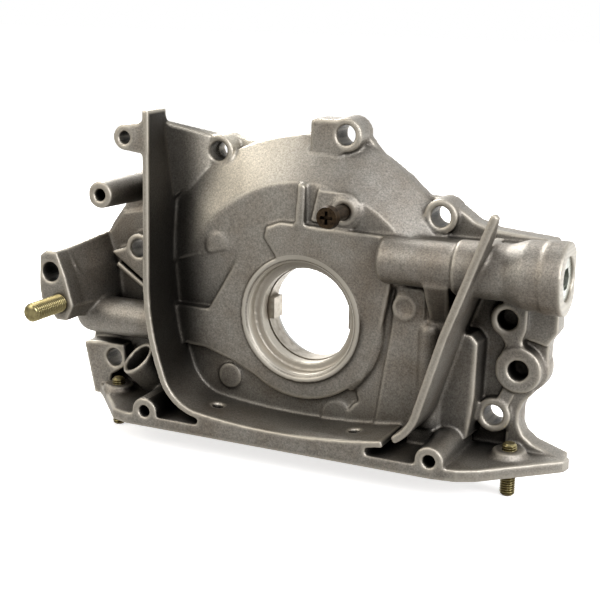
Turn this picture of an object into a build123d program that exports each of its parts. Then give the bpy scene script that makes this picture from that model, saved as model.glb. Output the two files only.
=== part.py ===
"""Crankshaft-driven oil pump of a small four-cylinder engine.

The die-cast aluminium housing bolts to the front of the block.  It carries a
gerotor rotor pair that turns with the crankshaft nose, a pressure relief valve
in a cross tube, the oil pan flange underneath and the lower belt-cover wall.

Frame, in millimetres: the origin lies on the crankshaft axis in the gasket
face, +X to the right seen from the front, -Y to the front, +Z up.  A "height"
is a distance ahead of the gasket face.
"""
from build123d import *
import os
from math import atan2, cos, degrees, hypot, pi, radians, sin, sqrt, tan

# Heights ahead of the gasket face
WALL_H = 43.0            # machined edge of the belt-cover wall
RING_H = 24.0            # machined ring round the seal bore
DISC_H = 22.0            # round face ahead of the rotors
GALLERY_H = 24.6         # cover of the oil passage above the seal bore
PANEL_H = 19.5           # flat panel right of the hub
SIDE_PANEL_H = 18.5      # flat panel right of the slanted wall
RECESS_H = 18.0          # sunk floor below the hub
POCKET_H = 8.0           # sunk floors between the right-hand bosses
BOSS_H = 12.8            # block bolt bosses
WEB_H = 4.6              # thin web along the gasket face

# Details inside the belt-cover wall
LOW_PANEL_H = PANEL_H + 1.2
WEDGE_FALL = 4.3         # depth of the wedge left of the hub, at its lower edge
EJECTOR_MARK = (44.3, 9.7)
EJECTOR_R = 5.3
EJECTOR_RIM = 1.9

# Drain passage from the relief valve down to the pan
DRAIN_X = 54.5
DRAIN_H = 17.0           # height of its half-round rib
DRAIN_BOSS_R = 5.6
DRAIN_R = 2.4
DRAIN_BORE_H = 15.0
DRAIN_TOP_Z = 27.0

# Crankshaft bore
SEAL_BORE_R = 23.5
SEAL_BORE_DEPTH = 6.5
SEAL_LEAD_IN = 1.6
RING_R = 26.75
LAND_R = 20.0
HUB_R = 34.5

# Gerotor pair
INNER_TEETH = 9
ECCENTRICITY = 3.2
LOBE_CIRCLE_R = 38.0
LOBE_R = 9.2
ROTOR_T = 7.9
ROTOR_SIDE_GAP = 0.05
ROTOR_TIP_GAP = 0.08
ROTOR_ROOT_GAP = 0.25    # between the inner rotor's teeth and the outer rotor's ring
OUTER_ROTOR_WALL = 5.55
OUTER_ROTOR_R = LOBE_CIRCLE_R + 2 * ECCENTRICITY - LOBE_R + ROTOR_ROOT_GAP + OUTER_ROTOR_WALL
POCKET_GAP = 0.10
INNER_BORE_R = 19.6
LUG_DEPTH = 2.6
LUG_WIDTH = 9.0
PORT_DEPTH = 5.0

# Rotor cover plate and its screws
PLATE_T = 4.0
PLATE_BORE_R = 21.0
PLATE_EDGE_GAP = 0.3
PLATE_SCREW_COUNT = 6
PLATE_SCREW_STEP = 5.0   # from the outer rotor's rim to the screw circle
PLATE_SCREW_CIRCLE_R = OUTER_ROTOR_R + PLATE_SCREW_STEP
PLATE_SCREW_R = 2.0
PLATE_SCREW_HEAD_R = 3.8
PLATE_SCREW_L = 12.0
PLATE_RIM = 4.5          # from the screw circle to the plate's edge
PLATE_R = PLATE_SCREW_CIRCLE_R + PLATE_RIM
DISC_WALL = 5.5
DISC_R = PLATE_R + DISC_WALL

# Belt-cover wall
WALL_T = 2.8
DIAGONAL_T = 3.2
WALL_TOP_Z = 82.6
COVER_BOSS_R = 5.8
COVER_TAP_R = 2.6
COVER_TAP_DEPTH = 14.0

# Oil pan flange
PAN_Z = -50.6
PAN_T = 5.0
PAN_HOLE_R = 2.6
PAN_HOLES = ((-34.4, -29.1), (28.3, -29.5))     # x and y
STUD_BOSS_R = 6.6
STUD_BOSS_T = 8.0
STUD_BOSS_FOOT = 1.4      # how far the boss widens at its foot

# Block bolt bosses
BOLT_HOLE_R = 4.1
STEPPED_BOLT_R = 3.3     # rear part of the upper left hole
STEP_H = 6.0
BLIND_FLOOR_H = 4.5      # floor of the tapped holes that end inside their boss
ADJUSTER_BOSS = (89.2, -11.6, 9.2, BOSS_H + 1.0)    # x, z, boss radius, boss height
ADJUSTER_HOLE_R = 4.1

# Suction passage and intake spigot at the left
SUCTION_Z = -12.0
SUCTION_H = 15.0
SUCTION_BODY_R = 8.4
SUCTION_R = 4.2
SPIGOT_R = 8.4
SPIGOT_BORE_R = 6.6
SPIGOT_L = 22.0
SPIGOT_BORE_L = 14.0

# Relief valve
TUBE_Z = 29.3
TUBE_H = 25.5            # height of the tube's axis
TUBE_LEFT_X = 35.5
TUBE_NOSE = 2.0          # length of the rounded left end
COLLAR_BACK = 10.7       # the collar is flat this far behind its axis
TUBE_END_X = 109.3
TUBE_R = 9.2
TUBE_MID_R = 10.8
TUBE_COLLAR_R = 14.0
VALVE_BORE_R = 6.5
VALVE_RUN_GAP = 0.04
FEED_R = 2.6
FEED_Z = 25.0
FEED_H = 19.3
VALVE_BORE_START_X = 46.0
PISTON_L = 16.0
PISTON_WALL = 1.4
SPRING_WIRE_R = 0.65
SPRING_TURNS = 7
SPRING_END_GAP = 0.3
PLUG_R = 8.4
PLUG_L = 12.0
PLUG_RECESS = 1.2
PLUG_SOCKET_AF = 8.0
PLUG_SOCKET_DEPTH = 6.0

# Bracket flange at the left
BRACKET_H = 37.0
BRACKET_T = 9.0
BRACKET_HOLE_R = 4.3
BRACKET_STUD_R = 4.0
BRACKET_THREAD_R = 3.6   # mean radius of the stud's thread where it sits in the flange
BRACKET_STUD_OUT = 20.0
BRACKET_STUD_IN = 16.0
STUD_MOUTH = 0.3          # how far the mouth of a stud's hole is wider than the stud
BRACKET_PORT_AT = (-113.4, 9.9)
BRACKET_STUD_AT = (-109.2, -3.6)
PORT_LINK_X = -108.5     # drilling from the port down to the suction passage
PORT_LINK_R = 2.2

# Belt-guard screw, partly run out of its boss
GUARD_AT = (18.4, 46.0)
GUARD_BOSS_H = 24.6
GUARD_BOSS_R = 5.6
GUARD_SCREW_R = 3.0
GUARD_HEAD_R = 4.7
GUARD_HEAD_T = 2.6
GUARD_SCREW_OUT = 13.4
GUARD_SCREW_IN = 7.0

# Casting draft of the bosses, degrees
BOSS_DRAFT = 1.5

# Pan studs
PAN_STUD_R = 3.0
PAN_THREAD_R = 2.7       # mean radius of the thread in the flange
PAN_STUD_OUT = 10.9
PAN_STUD_TOP = 2.6
PAN_STUDS = {"left": (-92.0, -17.0), "right": (88.8, -17.0)}    # x and y


# ---------------------------------------------------------------- helpers
def slab(outline, front, back=0.0, taper=0.0):
    """Extrude an XZ outline from one height to another, with optional draft."""
    return extrude(Plane.XZ.offset(back) * outline, amount=front - back, taper=taper)


def post(x, z, radius, front, back=0.0, taper=0.0):
    """Round post or hole tool along Y."""
    return slab(Pos(x, z) * Circle(radius), front, back, taper)


def rod(x0, x1, radius, z=TUBE_Z, height=TUBE_H):
    """Round bar along X between two stations."""
    plane = Plane(origin=(x0, -height, z), x_dir=(0, 1, 0), z_dir=(1, 0, 0))
    return extrude(plane * Circle(radius), amount=x1 - x0)


def pin(x, y, z0, z1, radius):
    """Round bar along Z between two levels."""
    return extrude(Plane.XY.offset(z0) * Pos(x, y) * Circle(radius), amount=z1 - z0)


def outline(*points):
    """Closed polygon through the points."""
    return make_face(Polyline(*points, close=True))


def boss(x, z, radius, front, back=0.0):
    """Round boss whose sides widen towards its foot by the casting draft."""
    plane = Plane(origin=(x, -(front + back) / 2, z), z_dir=(0, -1, 0))
    foot_radius = radius + (front - back) * tan(radians(BOSS_DRAFT))
    return plane * Cone(foot_radius, radius, front - back)


def link(a, b, width):
    """Strip of even width between two centres."""
    length = hypot(b[0] - a[0], b[1] - a[1])
    angle = degrees(atan2(b[1] - a[1], b[0] - a[0]))
    middle = ((a[0] + b[0]) / 2, (a[1] + b[1]) / 2)
    return Pos(*middle) * Rot(0, 0, angle) * Rectangle(length, width)


def bent_plate(near, far):
    """Straight-sided body between two ends with as many (x, height, z) corners each."""
    ends = [make_face(Polyline(*[(x, -h, z) for x, h, z in end], close=True)) for end in (near, far)]
    return loft(ends, ruled=True)


def tapered(front_points, front, back_points, back):
    """Body between two XZ outlines at different heights."""
    return bent_plate([(x, back, z) for x, z in back_points], [(x, front, z) for x, z in front_points])


# ---------------------------------------------------------------- belt-cover wall
WALL_FOOT = (-59.9, 10.0)
CORNER_START = (-53.2, -25.5)
CORNER_END = (-38.5, -39.9)
FLOOR_LOW = (2.0, -42.7)
FLOOR_END = (44.9, -38.7)
DIAGONAL_TOP = (84.6, 52.0)
DIAGONAL_KNEE = (67.5, 5.5)
DIAGONAL_FOOT = (58.6, -24.5)
DIAGONAL_END = (49.2, -37.8)


def wall_line():
    """Inner face of the belt-cover wall: left side, corner and floor."""
    return (
        Line((-59.4, WALL_TOP_Z), WALL_FOOT)
        + ThreePointArc(WALL_FOOT, (-58.1, -8.0), CORNER_START)
        + ThreePointArc(CORNER_START, (-48.2, -34.4), CORNER_END)
        + ThreePointArc(CORNER_END, FLOOR_LOW, FLOOR_END)
    )


def wall_strip():
    """Closed outline of the wall's thickness, outside the inner face."""
    return make_face(offset(wall_line(), amount=WALL_T, side=Side.RIGHT, kind=Kind.INTERSECTION))


def bowl_face():
    """Area inside the belt-cover wall, closed over the top of the left wall's foot."""
    edges = (
        Line((-59.9, 44.0), WALL_FOOT)
        + ThreePointArc(WALL_FOOT, (-58.1, -8.0), CORNER_START)
        + ThreePointArc(CORNER_START, (-48.2, -34.4), CORNER_END)
        + ThreePointArc(CORNER_END, FLOOR_LOW, FLOOR_END)
        + Polyline(FLOOR_END, DIAGONAL_END, DIAGONAL_FOOT, DIAGONAL_KNEE,
                   (76.0, 28.0), (60.0, 36.0), (36.0, 40.0), (-59.9, 44.0))
    )
    return make_face(edges)


def diagonal_strip():
    """Outline of the wall that slants up to the right and crosses the relief tube."""
    centre = (
        Polyline(DIAGONAL_TOP, DIAGONAL_KNEE, DIAGONAL_FOOT)
        + ThreePointArc(DIAGONAL_FOOT, (55.6, -31.8), DIAGONAL_END)
    )
    left = offset(centre, amount=DIAGONAL_T / 2, side=Side.LEFT, kind=Kind.INTERSECTION)
    right = offset(centre, amount=DIAGONAL_T / 2, side=Side.RIGHT, kind=Kind.INTERSECTION)
    return make_face(left) + make_face(right) + Pos(*DIAGONAL_TOP) * Circle(DIAGONAL_T / 2)


WALL_BACK = ((-28.6, 90), (-28.0, 80), (-22.5, 62), (-17.5, 46), (0, 40), (0, 90))    # Y and Z
DIAGONAL_BACK = ((-40.0, 60), (-39.6, 53.0), (-33.0, 44.0), (-33.0, 40.5), (0, 40.5), (0, 60))


def belt_wall():
    """The whole belt-cover wall with the solid rail between floor and pan flange."""
    wall = slab(wall_strip(), WALL_H, RECESS_H - 3)
    wall -= extrude(Plane.YZ.offset(-70) * outline(*WALL_BACK), amount=30)
    rail = slab(outline((-37, PAN_Z), (-37, -40.5), (38, -40.5), (38, PAN_Z)), WALL_H, 0)
    rail -= slab(bowl_face(), WALL_H, RECESS_H)
    diagonal = slab(diagonal_strip(), WALL_H, PANEL_H - 3)
    diagonal -= extrude(Plane.YZ.offset(60) * outline(*DIAGONAL_BACK), amount=40)
    return wall + rail + diagonal


# ---------------------------------------------------------------- rotor housing
SLOPE_STATIONS = (      # angle round the crankshaft, outer radius, height there
    (158, 65.4, 22.0), (152, 68.6, 21.6), (147, 72.3, 20.8), (143, 75.9, 19.8), (139, 78.5, 18.2),
    (134, 77.0, 15.2), (129, 76.0, 12.6), (123, 75.3, 10.2), (117, 75.0, 8.4), (110, 74.4, 7.2),
    (104, 74.0, 6.6), (96, 74.0, 6.5), (88, 74.0, 6.5), (80, 73.5, 6.5), (72, 73.0, 6.5),
    (66, 72.0, 6.5), (60, 71.0, 6.5), (54, 70.4, 6.7), (48, 70.0, 7.0), (42, 70.0, 7.6),
    (36, 69.5, 8.6), (30, 66.0, 11.0), (24, 63.0, 14.0),
)


def slope_section(angle, outer, height):
    """Radial section of the sloping shoulder."""
    plane = Plane(origin=(0, 0, 0), x_dir=(cos(radians(angle)), 0, sin(radians(angle))),
                  z_dir=(sin(radians(angle)), 0, -cos(radians(angle))))
    profile = ((40, 0), (outer, 0), (outer, height), (DISC_R, DISC_H), (40, DISC_H))
    return plane * outline(*profile)


def shoulder():
    """Sloping shoulder from the round face out to the thin web."""
    return loft([slope_section(*station) for station in SLOPE_STATIONS], ruled=True)


def gasket_web():
    """Thin web along the gasket face that ties all bosses together."""
    area = outline(
        (-52, 66), (-44, 71.5), (-34, 69), (-24, 70.5), (-9, 73.5), (12, 81), (20.5, 74), (29, 64.5),
        (38, 60), (46, 52.4), (58, 51.5), (63, 44), (74, 39.5), (96, 37), (99.5, 12), (99, -12),
        (93, -20), (88.5, -27), (88.5, -36), (104, PAN_Z), (-108, PAN_Z), (-113.5, -27),
        (-112, 0), (-106, 20), (-102, 28), (-96, 36), (-88, 46), (-70, 60),
    )
    return slab(area, WEB_H)


HUB_RIGHT_EDGE = ((27.8, -22.1), (31.9, -13.1), (34.9, -2.3), (37.1, 8.2), (39.2, 18.6))


def rotor_housing():
    """Round body round the rotor pair: disc, hub, machined ring and the floors beside them."""
    crease = outline((-60, 12), (-60, -17.5), (-45, -18.5), (-31, -22.8), (-18, -29), (0, -30), (20, -27),
                     *HUB_RIGHT_EDGE, (52, 22), (40, 60), (-60, 60))
    body = slab(bowl_face(), RECESS_H)
    body += slab(Circle(DISC_R) & crease, DISC_H, 2)
    body += slab(outline((-60, 24.6), (-60, -17.5), (-45, -18.5), (-30, -16), (-30, 12.5)), DISC_H, 2)
    body += slab(Circle(HUB_R), DISC_H, 2)
    body += post(0, 0, RING_R, RING_H, 10)
    return body


def right_panel():
    """Flat panel between hub and slanted wall, with the drain's half-round rib and an ejector mark."""
    area = outline((20, 0), (24, -28), (28, -41), (50, -40), (59, -25), (68, 5), (77, 30),
                   (40, 36), (20, 38))
    panel = slab(area, PANEL_H, 2)
    drain = pin(DRAIN_X, -DRAIN_H, -38, 0.5, DRAIN_BOSS_R)
    drain += Pos(DRAIN_X, -DRAIN_H, 0.5) * Sphere(DRAIN_BOSS_R)
    buttress = tapered(
        [(55.5, 27), (66, 27), (66, 22), (55.5, 22)], TUBE_H + 7.5,
        [(54.2, 27), (68, 27), (61, 0), (54.2, 0)], PANEL_H - 4,
    )
    raised = outline((40.5, 18.4), (51.5, 17.6), (52.8, 16.4), (52.8, -10), (50, -41), (33, -41),
                     (36.5, -16), (39, 0))
    low_panel = slab(raised, LOW_PANEL_H, 2)
    mark = post(*EJECTOR_MARK, EJECTOR_R, LOW_PANEL_H + 0.8, 10)
    mark -= post(*EJECTOR_MARK, EJECTOR_R - EJECTOR_RIM, LOW_PANEL_H + 2, LOW_PANEL_H)
    return panel + drain + buttress + low_panel + mark


def face_details():
    """Raised passages and pads cast on the round face."""
    passage = outline((-11, 25), (-16.5, 32.5), (-15.5, 37), (-9, 39.6), (38, 38), *HUB_RIGHT_EDGE[:1:-1],
                      (10, -2.3), (10, 20), (0, 20))
    gallery = slab(passage, GALLERY_H, 10)
    fall = outline((-GALLERY_H, 24), (-DISC_H, -2.3), (-WALL_H, -2.3), (-WALL_H, 24))
    gallery -= extrude(Plane.YZ.offset(9) * fall, amount=40)
    rib = slab(outline((-2.6, 38), (1.8, 38), (1.8, 55.5), (-1.2, 56)), DISC_H + 3.0, 10)
    pad = boss(-39.1, 26.6, 5.0, DISC_H + 0.8, 10)
    low_pad = boss(-34.2, -30.1, 5.5, RECESS_H + 1.4, 4)
    hub_step = slab(Circle(HUB_R + 1.6) & outline((0, 0), (40, 22), (44, -22), (24, -30)), DISC_H - 0.9, 4)
    mounds = boss(15.2, -40.2, 6.6, RECESS_H + 1.0, 4) + boss(28.2, -39.6, 7.6, RECESS_H + 1.6, 4)
    return gallery + rib + pad + low_pad + hub_step + (mounds & slab(bowl_face(), RECESS_H + 3))


def wedge_recess():
    """Sunk wedge left of the hub: its floor falls away towards the lower edge."""
    air = -DISC_H - 4.0
    profile = outline((-DISC_H, 26), (-DISC_H + WEDGE_FALL, -1.2), (air, -1.2), (air, 26))
    area = slab(outline((-26, 28), (-43.5, -1.2), (-59.9, -1.2), (-59.9, 18)), DISC_H + 3, 5)
    return extrude(Plane.YZ.offset(-62) * profile, amount=50) & area


# ---------------------------------------------------------------- bosses
BLOCK_BOLTS = {          # name: x, z, boss radius, boss height
    "upper left": (-43.9, 64.7, 6.8, BOSS_H),
    "upper middle": (13.6, 74.8, 6.9, BOSS_H),
    "upper right": (54.6, 45.6, 6.9, BOSS_H),
    "right upper": (83.6, 7.8, 6.9, BOSS_H),
    "right lower": (80.0, -31.5, 7.0, BOSS_H),
    "left": (-83.7, 19.2, 6.4, BOSS_H),
    "left lower": (-97.3, -32.5, 5.9, BOSS_H),
}
COVER_TAPS = {           # name: x, z, boss radius, boss height, foot height
    "ear": (-70.6, 71.3, 5.2, WALL_H, 30.0),
    "long": (-83.0, 46.8, 5.6, WALL_H, 0.0),
    "rail left": (-62.7, -43.8, COVER_BOSS_R, WALL_H, 8.0),
    "rail right": (64.4, -43.6, COVER_BOSS_R, WALL_H, 8.0),
}


def bolt_bosses():
    """Bosses of the block bolts, with the square tab beside the upper middle one."""
    bosses = [boss(x, z, r, h) for x, z, r, h in BLOCK_BOLTS.values()]
    tab = slab(fillet(outline((-1.8, 66.8), (13, 66.8), (13, 80.6), (-1.8, 80.6)).vertices(), 1.8), BOSS_H)
    tube_neck = slab(link((54.8, 39.8), (55.4, 34), 5.5), BOSS_H - 0.6)
    adjuster = boss(*ADJUSTER_BOSS)
    adjuster += boss(ADJUSTER_BOSS[0] + 0.6, ADJUSTER_BOSS[1], ADJUSTER_BOSS[2] + 1.2, POCKET_H)
    return Part() + bosses + tab + tube_neck + adjuster


def right_column():
    """Ribs, lands and sunk floors that join the right-hand bosses."""
    bridge = slab(outline((79.5, 3), (83.4, -2.1), (81, -8), (96, -8), (89.7, -0.5), (91.3, 4), (90, 8)),
                  BOSS_H)
    lower = slab(link((88.5, -14), (82.0, -29.5), 5.5), BOSS_H - 1.0)
    upper = slab(outline((80, 22), (83.6, 8), (91.4, 4), (91.6, 22)), BOSS_H)
    shelf = slab(outline((91.0, 20), (91.0, 4.2), (90.0, 0.6), (99.1, -1.6), (103.2, 4.5), (102.6, 20)),
                 BOSS_H - 2.2)
    panel = tapered(
        [(50, -41), (50, 1.5), (71.2, 1.5), (73.9, -1.5), (73.5, -24), (71.5, -41)], SIDE_PANEL_H,
        [(50, -41), (50, 2.0), (72.2, 2.0), (75.2, -1.5), (74.8, -24), (73.0, -41)], 2,
    )
    floor = slab(outline((60, 24), (100.5, 24), (99.5, -8), (95, -18), (89, -27), (72, -27), (60, 0)),
                 POCKET_H)
    low_floor = slab(outline((70, -24), (90, -24), (90, -47), (70, -47)), POCKET_H - 2.5)
    curve = outline((86, -18), (95.5, -20.5), (91.2, -25.4), (89.6, -30), (89.8, -34.5), (91.6, -38.6),
                    (95.6, -41.8), (102.5, -44.2), (108, -46), (108, PAN_Z), (84, PAN_Z))
    flare = slab(curve, BOSS_H - 3.0)
    drain_foot = slab(outline((47, -39), (66, -39), (63, PAN_Z), (48, PAN_Z)), DRAIN_H + 4.5)
    return bridge + lower + upper + shelf + panel + floor + low_floor + flare + drain_foot


def cover_bosses():
    """Tapped bosses of the belt cover, with the ear's link and the rail bosses' feet."""
    bosses = Part() + [boss(x, z, r, h, foot) for x, z, r, h, foot in COVER_TAPS.values()]
    ear_link = slab(outline((-71, 66.1), (-60, 64.6), (-60, 79.5), (-64.5, 77.4), (-71, 76.6)),
                    WALL_H - 0.4, 31)
    long_web = slab(outline((-84, 42), (-60, 30), (-60, 62), (-84, 50)), POCKET_H)
    return bosses + ear_link + long_web


# ---------------------------------------------------------------- oil pan flange
def pan_flange():
    """Flat flange for the oil pan, with chamfered front corners and stud bosses."""
    plan = outline(
        (-72, -WALL_H), (66, -WALL_H), (75, -41.5), (82, -37.8), (101, -20), (109.5, -12), (110.5, -7),
        (106, -3), (101, 0), (-108, 0), (-108.3, -10), (-101.2, -16.6), (-79.6, -40.7),
    )
    flange = extrude(Plane.XY.offset(PAN_Z) * plan, amount=PAN_T)
    for x, y in PAN_STUDS.values():
        flange += pin(x, y, PAN_Z, PAN_Z + STUD_BOSS_T, STUD_BOSS_R)
        foot = Cone(STUD_BOSS_R + STUD_BOSS_FOOT, STUD_BOSS_R, STUD_BOSS_T - PAN_T - 0.8)
        flange += Pos(x, y, PAN_Z + PAN_T + (STUD_BOSS_T - PAN_T - 0.8) / 2) * foot
    return flange


# ---------------------------------------------------------------- left side
BRACKET_FRONT = ((-118.7, 16.8), (-115.5, 19.2), (-110.2, 19.2), (-105.9, 8.7), (-102.0, -4.5),
                 (-105.5, -11.2), (-111.0, -11.2), (-118.7, -2.5), (-119.4, 3.0))
BRACKET_FOOT = ((-111.5, 17.5), (-108.5, 21.5), (-102.0, 25.5), (-96.5, 12.0), (-95.0, -4.5),
                (-99.0, -16.0), (-106.0, -19.0), (-112.0, -8.0), (-112.5, 5.0))


def bracket():
    """Bracket flange at the far left with its arm back to the gasket face."""
    plate = slab(outline(*BRACKET_FRONT), BRACKET_H, BRACKET_H - BRACKET_T)
    arm = tapered(BRACKET_FRONT, BRACKET_H - BRACKET_T, BRACKET_FOOT, 0)
    ridge = bent_plate(
        [(-109.5, 28, 18.6), (-105.6, 28, 11.0), (-109.0, 20, 15.0)],
        [(-103.0, 19, -1.0), (-101.2, 17, -3.5), (-103.6, 12, -3.0)],
    )
    return plate + arm + ridge


def suction_body():
    """Lower left body: cross passage, boss land, ribs and the thick corner pad."""
    passage = rod(-105, -58, SUCTION_BODY_R, z=SUCTION_Z, height=SUCTION_H)
    passage += Pos(-105, -SUCTION_H, SUCTION_Z) * Sphere(SUCTION_BODY_R)
    corner = slab(outline((-113.5, -27), (-106, -26), (-92, -26), (-91, -36), (-99, -41), (-101, PAN_Z),
                          (-108.2, PAN_Z)), BOSS_H)
    land = slab(outline((-98, 16.4), (-88.6, 19.6), (-84, 25.4), (-70, 25), (-70, -2), (-82.3, 5.6)),
                BOSS_H)
    lower_rib = slab(link((-97, 10.5), (-74, -4.5), 2.6), BOSS_H - 3)
    side_rib = slab(link((-104.5, 10), (-101, -4), 2.4), BOSS_H - 4)
    floor = slab(outline((-104, 22), (-96, 33), (-60, 40), (-60, -40), (-75, -40), (-91, -27), (-108, -20)),
                 WEB_H + 1)
    return passage + corner + land + lower_rib + side_rib + floor


def intake_spigot(radius, reach):
    """Slanted intake spigot, or with a smaller radius its bore."""
    mouth = Plane(origin=(-77.0, -25.0, -26.5), z_dir=(-0.42, -0.55, 0.72))
    return extrude(mouth * Circle(radius), amount=-reach)


# ---------------------------------------------------------------- relief tube
def relief_tube():
    """Outside of the relief valve tube: rounded left end, plain run, cone and end collar."""
    plain = rod(TUBE_LEFT_X + TUBE_NOSE, TUBE_END_X - 20, TUBE_R)
    nose_plane = Plane(origin=(TUBE_LEFT_X, -TUBE_H, TUBE_Z), z_dir=(1, 0, 0))
    nose = nose_plane * Pos(0, 0, TUBE_NOSE / 2) * Cone(TUBE_R - TUBE_NOSE * 0.8, TUBE_R, TUBE_NOSE)
    middle = rod(67, 89, TUBE_MID_R)
    cone = nose_plane * Pos(0, 0, 90.5 - TUBE_LEFT_X) * Cone(TUBE_MID_R, TUBE_COLLAR_R - 0.7, 7)
    collar = rod(93.9, TUBE_END_X, TUBE_COLLAR_R - 0.7)
    rim = rod(TUBE_END_X - 8, TUBE_END_X, TUBE_COLLAR_R)
    flat = slab(outline((96, 60), (120, 60), (120, 0), (96, 0)), TUBE_H - COLLAR_BACK)
    stand = slab(outline((38.5, 37), (100, 38.5), (100, 18), (38.5, 21)), TUBE_H - 3)
    top_web = slab(outline((53, 50.5), (58, 51.5), (68, 44.5), (76, 42), (99.5, 40), (99.5, 30), (50, 34)),
                   BOSS_H - 3)
    return plain + nose + middle + cone + (collar + rim - flat) + stand + top_web


# ---------------------------------------------------------------- housing
def wall_buttress():
    """Slanted web that stiffens the wall's upper left end against the upper left bolt boss."""
    return bent_plate(
        [(-60.5, 31.6, 78), (-60.5, 26.5, 78), (-60.5, 15, 44), (-60.5, 23.4, 44)],
        [(-46, 10.5, 70.5), (-46, 0.5, 70.5), (-46, 0.5, 58), (-46, 12, 58)],
    )


def housing():
    """The casting with all its machined bores."""
    body = gasket_web() + rotor_housing() + shoulder() + right_panel() + face_details()
    body += wall_buttress() + belt_wall() + bolt_bosses() + right_column() + relief_tube() + cover_bosses()
    body += pan_flange() + bracket() + suction_body() + intake_spigot(SPIGOT_R, SPIGOT_L) + guard_boss()
    body -= wedge_recess()
    return machined(body)


def machined(body):
    """Cut every bore, thread hole and port."""
    body -= post(0, 0, RING_R, WALL_H, RING_H)
    body -= slab(Circle(SEAL_BORE_R), RING_H, RING_H - SEAL_BORE_DEPTH)
    lead_in = Plane(origin=(0, -RING_H + SEAL_LEAD_IN / 2, 0), z_dir=(0, -1, 0))
    body -= lead_in * Cone(SEAL_BORE_R, SEAL_BORE_R + SEAL_LEAD_IN, SEAL_LEAD_IN)
    body -= slab(Circle(LAND_R), RING_H, 0)
    body -= rotor_pocket()
    for name, (x, z, r, h) in BLOCK_BOLTS.items():
        floor = {"upper left": STEP_H, "right upper": BLIND_FLOOR_H}.get(name, 0)
        body -= post(x, z, BOLT_HOLE_R, h + 6, floor)
    body -= post(*BLOCK_BOLTS["upper left"][:2], STEPPED_BOLT_R, STEP_H)
    body -= post(*ADJUSTER_BOSS[:2], ADJUSTER_HOLE_R, ADJUSTER_BOSS[3] + 1, BLIND_FLOOR_H)
    for x, z, r, h, foot in COVER_TAPS.values():
        body -= post(x, z, COVER_TAP_R, h, h - COVER_TAP_DEPTH)
    for x, y in PAN_HOLES:
        body -= pin(x, y, PAN_Z, PAN_Z + 12, PAN_HOLE_R)
    for x, y in PAN_STUDS.values():
        body -= pin(x, y, PAN_Z, PAN_Z + STUD_BOSS_T, PAN_THREAD_R)
        body -= stud_mouth(Plane(origin=(x, y, PAN_Z), z_dir=(0, 0, 1)), PAN_STUD_R, PAN_THREAD_R)
    body -= post(*BRACKET_PORT_AT, BRACKET_HOLE_R, BRACKET_H, SUCTION_H)
    body -= pin(PORT_LINK_X, -SUCTION_H, SUCTION_Z, BRACKET_PORT_AT[1], PORT_LINK_R)
    body -= post(*BRACKET_STUD_AT, BRACKET_THREAD_R, BRACKET_H, BRACKET_H - BRACKET_STUD_IN)
    bracket_face = Plane(origin=(BRACKET_STUD_AT[0], -BRACKET_H, BRACKET_STUD_AT[1]), z_dir=(0, 1, 0))
    body -= stud_mouth(bracket_face, BRACKET_STUD_R, BRACKET_THREAD_R)
    body -= post(*GUARD_AT, GUARD_SCREW_R, GUARD_BOSS_H, GUARD_BOSS_H - 12)
    body -= valve_bore() + intake_spigot(SPIGOT_BORE_R, SPIGOT_BORE_L)
    body -= rod(PORT_LINK_X, -31, SUCTION_R, z=SUCTION_Z, height=SUCTION_H)
    return body


def stud_mouth(face, stud_radius, thread_radius):
    """Countersunk mouth of a stud's hole, on a plane that looks into the hole."""
    mouth_radius = stud_radius + STUD_MOUTH
    depth = mouth_radius - thread_radius
    return face * Pos(0, 0, depth / 2) * Cone(mouth_radius, thread_radius, depth)


def rotor_pocket():
    """Rotor pocket, kidney ports in its floor and the cover plate's seat."""
    depth = PLATE_T + ROTOR_T + 2 * ROTOR_SIDE_GAP
    pocket = post(0, ECCENTRICITY, OUTER_ROTOR_R + POCKET_GAP, depth, 0)
    seat = post(0, ECCENTRICITY, PLATE_R + PLATE_EDGE_GAP, PLATE_T)
    ports = slab(kidney(105, 200) + kidney(-20, 75), depth + PORT_DEPTH, depth)
    return pocket + seat + ports + plate_screw_holes()


def kidney(start, end):
    """Kidney port under the tooth chambers between two angles."""
    inner, outer = LOBE_CIRCLE_R - LOBE_R - ECCENTRICITY, LOBE_CIRCLE_R - ECCENTRICITY
    points = {}
    for name, r in (("in", inner), ("out", outer)):
        for tag, a in (("s", start), ("m", (start + end) / 2), ("e", end)):
            points[name + tag] = (r * cos(radians(a)), r * sin(radians(a)))
    edges = (
        ThreePointArc(points["ins"], points["inm"], points["ine"])
        + Line(points["ine"], points["oute"])
        + ThreePointArc(points["oute"], points["outm"], points["outs"])
        + Line(points["outs"], points["ins"])
    )
    return make_face(edges)


def valve_bore():
    """Bore of the relief piston, the plug's thread, and the feed and drain passages."""
    seat_x = TUBE_END_X - PLUG_RECESS - PLUG_L
    bore = rod(VALVE_BORE_START_X, seat_x, VALVE_BORE_R) + rod(seat_x, TUBE_END_X, PLUG_R)
    feed = rod(28, VALVE_BORE_START_X + 2, FEED_R, z=FEED_Z, height=FEED_H)
    feed += post(29, FEED_Z, FEED_R, FEED_H)
    drain = pin(DRAIN_X, -DRAIN_BORE_H, PAN_Z, DRAIN_TOP_Z, DRAIN_R)
    drain += post(DRAIN_X, DRAIN_TOP_Z - DRAIN_R, DRAIN_R, TUBE_H - 4, DRAIN_BORE_H - DRAIN_R)
    return bore + feed + drain


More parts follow.
